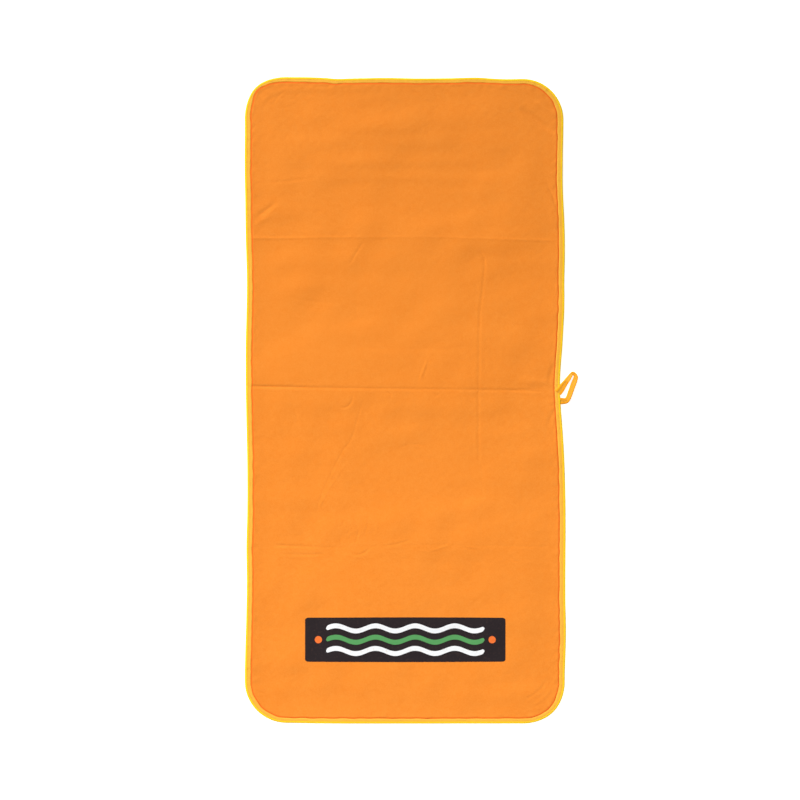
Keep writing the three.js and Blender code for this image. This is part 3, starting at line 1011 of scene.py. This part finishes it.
    @staticmethod
    def shade(piece: bpy.types.Object, normal: Array, faces: list[Array]) -> None:
        """Gives the sheet the normals of the whole cloth, so that two sheets meet without a line.

        Args:
            piece: the sheet.
            normal: the cloth's direction at each point of its face, row by row.
            faces: the sheet's face, back and walls.
        """
        mesh = piece.data
        count = len(mesh.vertices)
        per_point = np.zeros((count, 3))
        flat = normal.reshape(-1, 3)
        per_point[: len(flat)] = flat
        per_point[len(flat):] = -normal[::2, ::2].reshape(-1, 3)
        per_corner = [per_point[faces[0].ravel()], per_point[faces[1].ravel()]]
        co = np.zeros(count * 3, np.float32)
        mesh.vertices.foreach_get("co", co)
        co = co.reshape(-1, 3)
        wall = faces[2]
        out = np.cross(co[wall[:, 1]] - co[wall[:, 0]], co[wall[:, 2]] - co[wall[:, 1]])
        out /= np.maximum(np.linalg.norm(out, axis=1, keepdims=True), 1e-12)
        per_corner.append(np.repeat(out, 5, axis=0))
        mesh.normals_split_custom_set(np.concatenate(per_corner).tolist())

    def build(self, zones: tuple[Zone, ...], finish: BrushedCloth) -> None:
        """Makes every sheet, dresses it and bakes its transform.

        Args:
            zones: the stretches of the towel.
            finish: the cloth's finish.
        """
        stands = {
            Stretch.TOP: ("cloth_top_end",),
            Stretch.MIDDLE: ("cloth_upper", "cloth_lower"),
            Stretch.BOTTOM: ("cloth_bottom_end",),
        }
        material = finish.material()
        for zone in zones:
            piece = self.sheet(zone)
            piece.data.materials.append(material)
            zone.bend(piece)
            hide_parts(*stands[zone.stretch])
            LOG.info("%s: %d triangles", piece.name, triangles(piece))


# ----------------------------------------------------------------------------------------- binding


class Side(Enum):
    """A side of the towel on which a row of stitches lies. The value is part of the pieces' names."""

    FRONT = "front"
    BACK = "back"


@dataclass(frozen=True)
class Run:
    """A length of the binding.

    Attributes:
        zone: the stretch of the towel that it goes round.
        which: the end of its name, where a stretch has two.
        start: where it starts along the outline.
        end: where it ends.
        bodies: the parts of the towel that it goes round, in the words of the model's node names.
    """

    zone: Zone
    which: str
    start: float
    end: float
    bodies: tuple[str, ...]

    @property
    def name(self) -> str:
        """The run's part of the pieces' names."""
        return self.zone.name + self.which


@dataclass
class Binding:
    """The tape folded over the cloth's edge, and the two rows of stitches that hold it.

    Attributes:
        lay: how the towel lies.
        station: distance between two sections of the mesh.
        pucker: how the stitches pucker the tape.
        stitch_pitch: one stitch to the next.
        row_inset: from the outer edge to the row of stitches.
        row_wander: how far a stitch may lie off its row.
        rows: each row's side, the height of its stitches' middles and the seed of their differences.
        nominal: how much of the full width of tape is seen.
        middle: height of the turned edge's middle.
        turned: width of the turned edge, which keeps its size where less of the tape is seen.
        cut_width: width of the tape before it is folded; not used.
    """

    lay: Lay
    station: float = 2.4
    pucker: Ripple = Ripple(71, 5, 12, 0.07)
    stitch_pitch: float = 2.6
    row_inset: float = 4.0
    row_wander: float = 0.06
    rows: tuple[tuple[Side, float, int], ...] = ((Side.FRONT, 1.95, 101), (Side.BACK, 0.2, 102))
    nominal: float = 8.0
    middle: float = 1.06
    turned: float = 2.0
    cut_width: float = 17.0

    def section(self) -> Array:
        """The folded tape's cut face: distance from the outer edge, height and place across the tape."""
        w = self.nominal
        outer = [
            (w, 1.54), (w, 1.84), (w - 0.2, 1.98), (w - 0.9, 2.05), (5.1, 2.06), (4.5, 2.01), (4.0, 1.98),
            (3.5, 2.01), (2.9, 2.05), (2.0, 2.08), (1.2, 2.08), (0.65, 1.97), (0.2, 1.6), (0, self.middle),
            (0.18, 0.62), (0.6, 0.24), (1.2, 0.05), (2.0, 0), (3.3, 0), (4.0, 0.22), (4.7, 0), (w - 0.2, 0), (w, 0.12),
        ]
        inner = [
            (w, 0.42), (w - 0.6, 0.5), (4.0, 0.52), (1.7, 0.52), (1.0, 0.75), (0.8, self.middle), (1.0, 1.36),
            (1.7, 1.6), (3.4, 1.6), (4.0, 1.5), (4.6, 1.58), (w - 0.6, 1.56),
        ]
        across = [math.copysign(d / w, h - self.middle) for d, h in outer + inner]
        return np.column_stack([np.array(outer + inner), across])

    def places(self, along: Array, depth: Array, height: Array) -> Array:
        """Where points of the binding lie.

        Args:
            along: distances along the outline.
            depth: distances in from its outer edge on the full width of tape, one row for each of along.
            height: heights above the ground.

        Returns:
            The points, in the shape of depth with three numbers each.
        """
        points, inward = self.lay.outline.at(along)
        scale = (self.lay.tape_width(*points.T, *inward.T) - self.turned) / (self.nominal - self.turned)
        seen = np.minimum(depth, self.turned) + np.maximum(depth - self.turned, 0) * scale[:, None]
        flat = points[:, None] + inward[:, None] * seen[..., None]
        x, y = self.lay.drift(flat[..., 0], flat[..., 1])
        px, py = self.lay.drift(*points.T)
        upper = np.clip((height - self.middle) / 0.8, 0, 1)
        by_join = sum(np.exp(-(((points[:, 1] - join) / 4) ** 2)) for join in (SEAM_HIGH, SEAM_LOW))
        pucker = self.pucker.at(*points.T) * (1 - np.clip(by_join, 0, 1))
        lift = self.lay.ground(x, y)
        edge = self.lay.ground(px, py)[:, None]
        level = edge + (lift - edge) * np.clip(seen / self.nominal, 0, 1)
        return np.stack([x, y, level + height + upper * pucker[:, None]], -1)

    def tape(self, run: Run) -> bpy.types.Object:
        """One closed length of the tape."""
        section = self.section()
        count = round((run.end - run.start) / self.station)
        along = np.linspace(run.start, run.end, count + 1)
        ones = np.ones((len(along), 1))
        points = self.places(along, ones * section[:, 0], ones * section[:, 1])
        rows, cols = points.shape[:2]
        first, last = np.arange(cols)[None, ::-1], np.arange(cols)[None] + (rows - 1) * cols
        piece = mesh_piece(f"edge_tape_{run.name}", points.reshape(-1, 3), [quads(rows, cols, True), first, last])
        uv = np.stack([np.broadcast_to(along[:, None] * MM, (rows, cols)), ones * section[:, 2]], -1)
        write_uv(piece, "tape", uv.reshape(-1, 2))
        smooth_by_angle(piece, SHARP)
        return piece

    def stitches(self, run: Run, side: Side, height: float, seed: int) -> bpy.types.Object:
        """One row of stitches along the binding.

        Args:
            run: the length of binding.
            side: the side of the towel.
            height: height of the stitches' middles above the ground.
            seed: the seed of their small differences.

        Returns:
            The row.
        """
        draw = np.random.default_rng(seed)
        count = round((run.end - run.start) / self.stitch_pitch)
        pitch = (run.end - run.start) / count
        middle = run.start + pitch * (np.arange(count) + 0.5)
        ones = np.ones((count, 1))
        depth = ones * self.row_inset + draw.normal(0, self.row_wander, (count, 1))
        at, ahead = (self.places(m, depth, ones * height)[:, 0] for m in (middle, middle + 0.5))
        return stitch_row(f"edge_{side.value}_thread_{run.name}", at, ahead - at, draw, side)

    def runs(self, zones: tuple[Zone, ...]) -> tuple[Run, ...]:
        """The four lengths of the binding, counter-clockwise from the join above the loop."""
        top, middle, bottom = zones
        whole = self.lay.outline.length
        left = whole / 2
        high, low = top.low, bottom.high
        return (
            Run(top, "", high, left - high, ("top_end",)),
            Run(middle, "_left", left - high, left - low, ("upper_left", "lower_left")),
            Run(bottom, "", left - low, whole + low, ("bottom_end",)),
            Run(middle, "_right", whole + low, whole + high, ("upper_right", "lower_right")),
        )

    def build(self, zones: tuple[Zone, ...], tape: RibbedTape, thread: bpy.types.Material) -> None:
        """Makes the tape and its stitches round the towel, dresses them and bakes their transforms.

        Args:
            zones: the stretches of the towel, from the top one down.
            tape: the tape's finish.
            thread: the thread's material.
        """
        material = tape.material()
        for run in self.runs(zones):
            piece = self.tape(run)
            piece.data.materials.append(material)
            run.zone.bend(piece)
            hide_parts(*(f"binding_{body}" for body in run.bodies))
            f"towel_cloth_{run.zone.name}"
            LOG.info("%s: %d triangles", piece.name, triangles(piece))
            for side, height, seed in self.rows:
                sewn = self.stitches(run, side, height, seed)
                sewn.data.materials.append(thread)
                run.zone.bend(sewn)
                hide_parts(*(f"{side.value}_stitches_{body}" for body in run.bodies))
                LOG.info("%s: %d triangles", sewn.name, triangles(sewn))


def stitch_shape() -> tuple[Array, Array]:
    """One stitch, as points in millimetres and faces, lying along x with its ends pulled down."""
    length, width, height, pulled = 2.3, 0.52, 0.36, 0.16
    bpy.ops.object.select_all(action="DESELECT")
    bpy.ops.mesh.primitive_uv_sphere_add(segments=6, ring_count=4, radius=0.5, rotation=(0, math.pi / 2, 0))
    made = bpy.context.active_object
    bpy.ops.object.transform_apply(rotation=True)
    bpy.ops.object.mode_set(mode="EDIT")
    bpy.ops.transform.resize(value=(length, width, height))
    bpy.ops.mesh.select_all(action="DESELECT")
    bpy.ops.object.mode_set(mode="OBJECT")
    for v in made.data.vertices:
        v.select = abs(v.co.x) > 1.0
    bpy.ops.object.mode_set(mode="EDIT")
    bpy.ops.transform.translate(value=(0, 0, -pulled))
    bpy.ops.mesh.select_all(action="SELECT")
    bpy.ops.mesh.quads_convert_to_tris()
    bpy.ops.object.mode_set(mode="OBJECT")
    points = np.array([v.co for v in made.data.vertices], float)
    faces = np.array([tuple(p.vertices) for p in made.data.polygons])
    bpy.data.objects.remove(made)
    return points, faces


def stitch_row(
    name: str, middles: Array, ahead: Array, draw: np.random.Generator, side: Side
) -> bpy.types.Object:
    """Copies of one stitch along a line.

    Args:
        name: the row's name.
        middles: the stitches' middles.
        ahead: the direction of the line at each.
        draw: the source of the stitches' small differences.
        side: the side of the towel. On its back the stitches' ends turn up.

    Returns:
        The row.
    """
    shape, faces = stitch_shape()
    if side is Side.BACK:
        shape, faces = shape * [1, 1, -1], faces[:, ::-1]
    ahead = ahead / np.linalg.norm(ahead, axis=1, keepdims=True)
    lean = draw.normal(0.07, 0.03, len(ahead))
    aside = np.cross([0.0, 0.0, 1.0], ahead)
    aside /= np.linalg.norm(aside, axis=1, keepdims=True)
    ahead, aside = (
        ahead * np.cos(lean)[:, None] + aside * np.sin(lean)[:, None],
        aside * np.cos(lean)[:, None] - ahead * np.sin(lean)[:, None],
    )
    over = np.cross(ahead, aside)
    size = draw.normal(1, 0.03, (len(ahead), 1, 1))
    turned = (
        shape[None, :, :1] * ahead[:, None] + shape[None, :, 1:2] * aside[:, None] + shape[None, :, 2:] * over[:, None]
    )
    points = middles[:, None] + size * turned
    all_faces = faces[None] + (np.arange(len(middles)) * len(shape))[:, None, None]
    return mesh_piece(name, points.reshape(-1, 3), [all_faces.reshape(-1, 3)])


# -------------------------------------------------------------------------------------------- loop


@dataclass
class HangingLoop:
    """The loop: a length of tape folded double that leans out from the long edge and back.

    Attributes:
        flat_width: width of the folded tape.
        steepest: the most that the tape leans, in degrees.
        knots: x, y, width seen from above, and height of the lower edge, from the upper root to the lower.
        rows: each row's side, the height of its stitches over the tape's middle and the seed of their differences.
        stitch_pitch: one stitch to the next.
        bare: how far from its two roots the rows of stitches start and end.
        root: x between which the loop would bend when it swings; not used.
    """

    flat_width: float = 7.0
    steepest: float = 24.0
    knots: tuple[tuple[float, float, float, float], ...] = (
        (188.9, 9.6, 9.2, 1.9), (190.6, 11.6, 9.2, 2.2), (192.8, 14.4, 8.8, 2.1), (195.8, 18.7, 7.8, 1.5),
        (199.1, 23.4, 6.8, 1.1), (202.6, 28.3, 5.6, 0.9), (205.4, 32.2, 4.6, 0.8), (207.8, 33.9, 4.2, 0.8),
        (210.6, 31.4, 4.4, 0.8), (211.0, 27.9, 5.4, 0.8), (208.8, 21.6, 6.2, 0.8), (206.4, 15.5, 6.4, 0.8),
        (204.2, 9.4, 6.4, 0.8), (202.0, 3.4, 6.4, 0.8), (199.2, -0.2, 7.0, 0.8), (196.0, -0.7, 7.6, 0.8),
        (192.4, -0.7, 8.0, 0.9), (189.5, -0.7, 8.0, 1.0),
    )
    rows: tuple[tuple[Side, float, int], ...] = ((Side.FRONT, 0.72, 111), (Side.BACK, -0.5, 112))
    stitch_pitch: float = 2.5
    bare: tuple[float, float] = (9.0, 5.0)
    root: tuple[float, float] = (195.5, 199.5)

    def frames(self) -> tuple[Array, Array, Array, Array]:
        """The tape's line: its middles, its directions across and off its face, and its stretch."""
        line = smooth_path(np.array(self.knots), 5)
        middle = line[:, :2]
        run = np.gradient(middle, axis=0)
        run /= np.linalg.norm(run, axis=1, keepdims=True)
        out = np.stack([-run[:, 1], run[:, 0]], 1)
        seen = line[:, 2] / self.flat_width
        tip = np.argmax(line[:, 1])
        turn = np.tanh((np.arange(len(line)) - tip) / 4)
        lean = turn * np.minimum(np.arccos(np.clip(seen, 0, 1)), math.radians(self.steepest))
        across = np.column_stack([out * np.cos(lean)[:, None], np.sin(lean)])
        off = np.column_stack([-out * np.sin(lean)[:, None], np.cos(lean)])
        wide = seen / np.cos(lean)
        height = line[:, 3] + self.flat_width / 2 * wide * np.abs(np.sin(lean))
        return np.column_stack([middle, height]), across, off, wide

    def section(self) -> Array:
        """The folded tape's cut face, across from the slit's side to the outer fold, and height."""
        w = self.flat_width / 2
        return np.array([
            (-w, 0.32), (-w + 0.15, 0.78), (-w + 0.9, 0.92), (-1.1, 0.82), (-0.5, 0.68), (0, 0.62), (0.5, 0.68),
            (1.1, 0.82), (w - 1.1, 0.92), (w - 0.35, 0.68), (w, 0.1), (w - 0.35, -0.42), (w - 1.1, -0.56), (1.1, -0.5),
            (0, -0.4), (-1.1, -0.52), (-w + 0.9, -0.72), (-w + 0.15, -0.64), (-w, -0.2),
            (-w + 0.8, -0.22), (0, -0.02), (w - 1.3, 0.02), (w - 1.3, 0.16), (0, 0.14), (-w + 0.8, 0.38),
        ])[::-1]

    def build(self, tape: RibbedTape, thread: bpy.types.Material) -> None:
        """Makes the loop and its two rows of stitches, dresses them and bakes their transforms.

        Args:
            tape: the tape's finish.
            thread: the thread's material.
        """
        middle, across, off, wide = self.frames()
        piece, length = self.tape(middle, across, off, wide)
        piece.data.materials.append(tape.material())
        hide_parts("hanging_loop")
        self.swing(piece)
        LOG.info("%s: %d triangles", piece.name, triangles(piece))
        spots = np.arange(self.bare[0], length[-1] - self.bare[1], self.stitch_pitch)
        for side, height, seed in self.rows:
            line = middle + off * height
            at, ahead = (
                np.column_stack([np.interp(s, length, line[:, i]) for i in range(3)]) for s in (spots, spots + 0.5)
            )
            sewn = stitch_row(f"loop_{side.value}_thread", at, ahead - at, np.random.default_rng(seed), side)
            sewn.data.materials.append(thread)
            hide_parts(f"loop_{side.value}_stitches")
            self.swing(sewn)
            LOG.info("%s: %d triangles", sewn.name, triangles(sewn))

    def tape(self, middle: Array, across: Array, off: Array, wide: Array) -> tuple[bpy.types.Object, Array]:
        """The closed, doubled tape.

        Args:
            middle: the middles of its sections.
            across: the direction across the tape at each.
            off: the direction off its face at each.
            wide: its share of the full width at each.

        Returns:
            The tape, and the length along it at each section.
        """
        section = self.section()
        rows, cols = len(middle), len(section)
        points = (
            middle[:, None]
            + across[:, None] * section[None, :, :1] * wide[:, None, None]
            + off[:, None] * section[None, :, 1:]
        )
        ends = [np.arange(cols)[None, ::-1], np.arange(cols)[None] + (rows - 1) * cols]
        piece = mesh_piece("loop_tape", points.reshape(-1, 3), [quads(rows, cols, True), *ends])
        length = np.concatenate([[0], np.cumsum(np.linalg.norm(np.diff(middle, axis=0), axis=1))])
        last_colour = 0.64  # its middle has the colour of the binding's inner part
        place = last_colour * (1 - np.abs(section[:, 0]) / (self.flat_width / 2))
        uv = np.stack([np.broadcast_to(length[:, None] * MM, (rows, cols)), np.broadcast_to(place, (rows, cols))], -1)
        write_uv(piece, "tape", uv.reshape(-1, 2))
        smooth_by_angle(piece, SHARP)
        return piece, length

    def swing(self, piece: bpy.types.Object) -> None:
        """Bakes a piece of the loop's transform into its mesh."""
        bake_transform(piece)


# ------------------------------------------------------------------------------------------- print


@dataclass
class Print:
    """The printed panel: a dark bar, three wave lines and two dots, each a film that follows the nap.

    Attributes:
        cloth: the cloth that it is printed on.
        centre: y of its middle.
        bar: width and height of the bar.
        corner: rounding of the bar's corners.
        wave: length, width, one crest to the next, and height of a wave line.
        pitch: one wave line to the next.
        dot: radius of a dot and its place out from the middle.
        film: thickness of one layer of ink.
        clear: how far the ink's underside stands off the mesh of the cloth, beyond one film.
    """

    cloth: Cloth
    centre: float = -296.0
    bar: tuple[float, float] = (248.0, 54.5)
    corner: float = 3.0
    wave: tuple[float, float, float, float] = (196.0, 6.0, 49.0, 3.2)
    pitch: float = 14.0
    dot: tuple[float, float] = (4.5, 107.5)
    film: float = 0.07
    clear: float = 0.05

    @staticmethod
    def grid(name: str, columns: int, rows: int) -> bpy.types.Object:
        """A flat square of faces, 1 by 1 about the origin, to be drawn out and laid on the cloth."""
        bpy.ops.object.select_all(action="DESELECT")
        bpy.ops.mesh.primitive_grid_add(x_subdivisions=columns, y_subdivisions=rows, size=1)
        made = bpy.context.active_object
        made.name = made.data.name = name
        return made

    @staticmethod
    def disc(name: str, radius: float) -> bpy.types.Object:
        """A flat disc of rings about the origin."""
        rings, ring = 3, 0.27
        bpy.ops.object.select_all(action="DESELECT")
        bpy.ops.mesh.primitive_circle_add(vertices=28, radius=radius, fill_type="NGON")
        made = bpy.context.active_object
        made.name = made.data.name = name
        bpy.ops.object.mode_set(mode="EDIT")
        for _ in range(rings):
            bpy.ops.mesh.inset(thickness=radius * ring)
        bpy.ops.object.mode_set(mode="OBJECT")
        return made

    def lay_down(self, piece: bpy.types.Object, points: Array, layer: int) -> None:
        """Moves a flat piece's points onto the cloth and gives it the ink's thickness.

        Args:
            piece: the flat piece.
            points: x and y of its points on the towel.
            layer: 1 for ink on the cloth, 2 for ink on ink.
        """
        x, y = points.T
        u, v = x.copy(), y.copy()
        for _ in range(3):  # finds the place of the flat cloth that comes to lie under each point
            dx, dy = self.cloth.lay.drift(u, v)
            u, v = u + x - dx, v + y - dy
        face = self.cloth.heights(u, v)[2]
        place = np.column_stack([x, y, face + self.clear + self.film * layer]) * MM
        piece.data.vertices.foreach_set("co", place.astype(np.float32).ravel())
        piece.data.update()
        select_only(piece)
        thick = piece.modifiers.new("ink", "SOLIDIFY")
        thick.thickness = self.film * MM
        thick.offset = -1
        bpy.ops.object.modifier_apply(modifier=thick.name)
        smooth_by_angle(piece, 40)

    @staticmethod
    def flat(piece: bpy.types.Object) -> Array:
        """x and y of a piece's points."""
        co = np.zeros(len(piece.data.vertices) * 3, np.float32)
        piece.data.vertices.foreach_get("co", co)
        return co.reshape(-1, 3)[:, :2].astype(float)

    def dress(self, piece: bpy.types.Object, ink: PrintInk, node: str) -> None:
        """Gives a finished piece its ink and its body.

        Args:
            piece: the piece.
            ink: its ink.
            node: the node that it stands for.
        """
        found = bpy.data.materials.get(ink.name)
        piece.data.materials.append(found or ink.material())
        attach(piece, "bottom_end")
        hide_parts(node)
        LOG.info("%s: %d triangles", piece.name, triangles(piece))

    def build(self) -> None:
        """Makes every printed piece."""
        self.build_bar()
        self.build_waves()
        self.build_dots()

    def build_bar(self) -> None:
        """Makes the dark bar, with round corners and ends that bow a little."""
        width, height = self.bar
        bar = self.grid("ink_bar", 170, 38)
        s, t = (self.flat(bar) * 2).T
        y = t * height / 2
        over = np.clip(np.abs(y) - height / 2 + self.corner, 0, self.corner)
        half = width / 2 - self.corner + np.sqrt(self.corner**2 - over**2)
        bow = 0.5 * np.cos(s * math.pi / 2) * t
        self.lay_down(bar, np.column_stack([s * half, y + bow + self.centre]), 1)
        dark = PrintInk("ink_dark", (0.0155, 0.009, 0.0105), (0.03, 0.015, 0.013))
        self.dress(bar, dark, "print_panel")

    def build_waves(self) -> None:
        """Makes the three wave lines, with round ends."""
        white = PrintInk("ink_white", (0.82, 0.83, 0.84), (0.78, 0.72, 0.66))
        green = PrintInk("ink_green", (0.085, 0.31, 0.095), (0.11, 0.29, 0.09))
        length, wide, crest, lift = self.wave
        thinnest = 0.02
        for row, label in ((1, "upper"), (0, "middle"), (-1, "lower")):
            line = self.grid(f"ink_wave_{label}", 150, 5)
            s, t = self.flat(line).T
            past = np.clip(np.abs(s) * length - length / 2 + wide / 2, 0, None) / (wide / 2)
            end = np.sqrt(np.clip(1 - past**2, thinnest, 1))
            x = s * length
            y = t * wide * end + lift * np.sin(math.tau * x / crest)
            self.lay_down(line, np.column_stack([x, y + self.centre + row * self.pitch]), 2)
            ink, slot = (green, "print_green") if row == 0 else (white, "print_white")
            self.dress(line, ink, f"print_wave_{label}")

    def build_dots(self) -> None:
        """Makes the two dots."""
        red = PrintInk("ink_red", (0.85, 0.165, 0.026), (0.78, 0.17, 0.04))
        radius, out = self.dot
        for side, label in ((-1, "left"), (1, "right")):
            dot = self.disc(f"ink_dot_{label}", radius)
            self.lay_down(dot, self.flat(dot) + [side * out, self.centre], 2)
            self.dress(dot, red, f"print_dot_{label}")


# ------------------------------------------------------------------------------------------ studio


@dataclass(frozen=True)
class SoftBox:
    """A square studio light.

    Attributes:
        name: its name.
        place: where it hangs, in metres.
        size: its side.
        power: its power in watts.
    """

    name: str
    place: tuple[float, float, float]
    size: float
    power: float

    def hang(self) -> None:
        """Hangs the light, facing the middle of the towel."""
        light = bpy.data.lights.new(self.name, "AREA")
        light.size = self.size
        light.energy = self.power
        lamp = bpy.data.objects.new(self.name, light)
        lamp.location = self.place
        lamp.rotation_euler = (-Vector(self.place)).to_track_quat("-Z", "Y").to_euler()
        bpy.context.scene.collection.objects.link(lamp)


@dataclass(frozen=True)
class Beam:
    """A soft light that falls straight down.

    Attributes:
        place: where it hangs, in metres.
        power: its power in watts.
        spread: its opening, in degrees.
        size: radius of its lamp.
    """

    place: tuple[float, float, float]
    power: float
    spread: float = 36
    size: float = 0.3

    def hang(self) -> None:
        """Hangs the light."""
        light = bpy.data.lights.new("overhead_beam", "SPOT")
        light.energy = self.power
        light.spot_size = math.radians(self.spread)
        light.spot_blend = 1
        light.shadow_soft_size = self.size
        lamp = bpy.data.objects.new("overhead_beam", light)
        lamp.location = self.place
        bpy.context.scene.collection.objects.link(lamp)


@dataclass(frozen=True)
class Studio:
    """A white table, soft lights and a camera that looks straight down. Lengths are in metres.

    Attributes:
        table_size: side of the table.
        table_drop: how far its top lies under the towel, so that the two never share a plane.
        seen: width of the table that the camera sees.
        height: height of the camera.
        aim: x and y of the point under it.
        film: width of the camera's film, in millimetres.
        lights: the lights.
        sky: strength of the even light from all round.
        glow: light that comes up through the white table.
    """

    table_size: float = 9.0
    table_drop: float = 0.00005

    seen: float = 0.9907
    height: float = 2.6
    aim: tuple[float, float] = (-0.0065, 0.0006)
    film: float = 36.0
    lights: tuple[SoftBox | Beam, ...] = (
        SoftBox("key_light", (-2.6, 3.6, 2.6), 1.5, 362),
        SoftBox("side_light", (-1.3, -0.3, 0.8), 0.5, 6.5),
        Beam((0.26, -0.6, 3.2), 146),
    )
    sky: float = 0.16
    glow: float = 0.65

    def build(self) -> None:
        """Makes the table, the lights and the camera."""
        self.build_table()
        for light in self.lights:
            light.hang()
        self.build_sky()
        self.build_camera()

    def build_table(self) -> None:
        """Makes the white table. Its glow leaves no shadow on it."""
        bpy.ops.object.select_all(action="DESELECT")
        bpy.ops.mesh.primitive_plane_add(size=self.table_size, location=(0, 0, -self.table_drop))
        table = bpy.context.active_object
        table.name = "table"
        tree = Tree("white_table")
        tree.shader.inputs["Base Color"].default_value = (0.95, 0.95, 0.95, 1)
        tree.shader.inputs["Roughness"].default_value = 1
        tree.shader.inputs["Specular IOR Level"].default_value = 0
        tree.shader.inputs["Emission Color"].default_value = (1, 1, 1, 1)
        tree.shader.inputs["Emission Strength"].default_value = self.glow
        table.data.materials.append(tree.material)

    def build_sky(self) -> None:
        """Makes the even light from all round."""
        world = bpy.data.worlds.new("studio")
        world.use_nodes = True
        sky = world.node_tree.nodes["Background"]
        sky.inputs["Color"].default_value = (1, 1, 1, 1)
        sky.inputs["Strength"].default_value = self.sky
        bpy.context.scene.world = world

    def build_camera(self) -> None:
        """Makes the camera, straight above the towel."""
        scene = bpy.context.scene
        lens = bpy.data.cameras.new("camera")
        lens.sensor_width = self.film
        lens.lens = self.film * self.height / self.seen
        camera = bpy.data.objects.new("camera", lens)
        camera.location = (*self.aim, self.height)
        scene.collection.objects.link(camera)
        scene.camera = camera
        scene.view_settings.view_transform = "Standard"


# -------------------------------------------------------------------------------------------- main


def fold_height(joint: str) -> tuple[float, float]:
    """y and z of a fold's hinge line, in millimetres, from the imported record."""
    found = next(j for j in frame["joints"] if j["name"] == joint)
    return found["pos_m"][1] / MM, found["pos_m"][2] / MM


def towel_zones(half_y: float) -> tuple[Zone, ...]:
    """The three stretches of the towel, from the top one down, each with one fold line."""
    top_y, top_z = fold_height("fold_top")
    mid_y, mid_z = fold_height("fold_middle")
    low_y, low_z = fold_height("fold_bottom")
    before, beyond = 0.3, 2.15  # where the cloth bends round a hinge, in shares of the hinge's height
    return (
        Zone(
            Stretch.TOP, SEAM_HIGH, half_y, "upper_panel", "top_end",
            start=top_y - before * top_z, end=top_y + beyond * top_z,
        ),
        Zone(
            Stretch.MIDDLE, SEAM_LOW, SEAM_HIGH, "lower_panel", "upper_panel",
            start=mid_y - before * mid_z, end=mid_y + beyond * mid_z,
        ),
        Zone(
            Stretch.BOTTOM, -half_y, SEAM_LOW, "lower_panel", "bottom_end",
            start=low_y + before * low_z, end=low_y - beyond * low_z,
        ),
    )


def main() -> None:
    """Builds the towel and its studio."""
    logging.basicConfig(level=logging.INFO, format="%(name)s: %(message)s")
    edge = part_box("binding_top_end")[1]
    outline = Outline(edge.x / MM, edge.y / MM, radius=52.0)
    lay = Lay(outline)
    zones = towel_zones(outline.half_y)
    cloth = Cloth(lay)
    cloth.build(zones, BrushedCloth())
    thread = SewingThread().material()
    Binding(lay).build(zones, RibbedTape(), thread)
    # painted shade: the loop is the binding's own tape, given a darker, more saturated shaded copy of its colours,
    # with a painted highlight at its edges and painted shade along its stitched middle
    loop_tape = RibbedTape(
        "loop_tape_shaded",
        rim_highlight=(0.93, 0.36, 0.001), body=(0.86, 0.33, 0.004), inner=(0.78, 0.35, 0.03), row=(0.7, 0.31, 0.025),
    )
    HangingLoop().build(loop_tape, thread)
    Print(cloth).build()
    Studio().build()


if __name__ == "__main__":
    main()
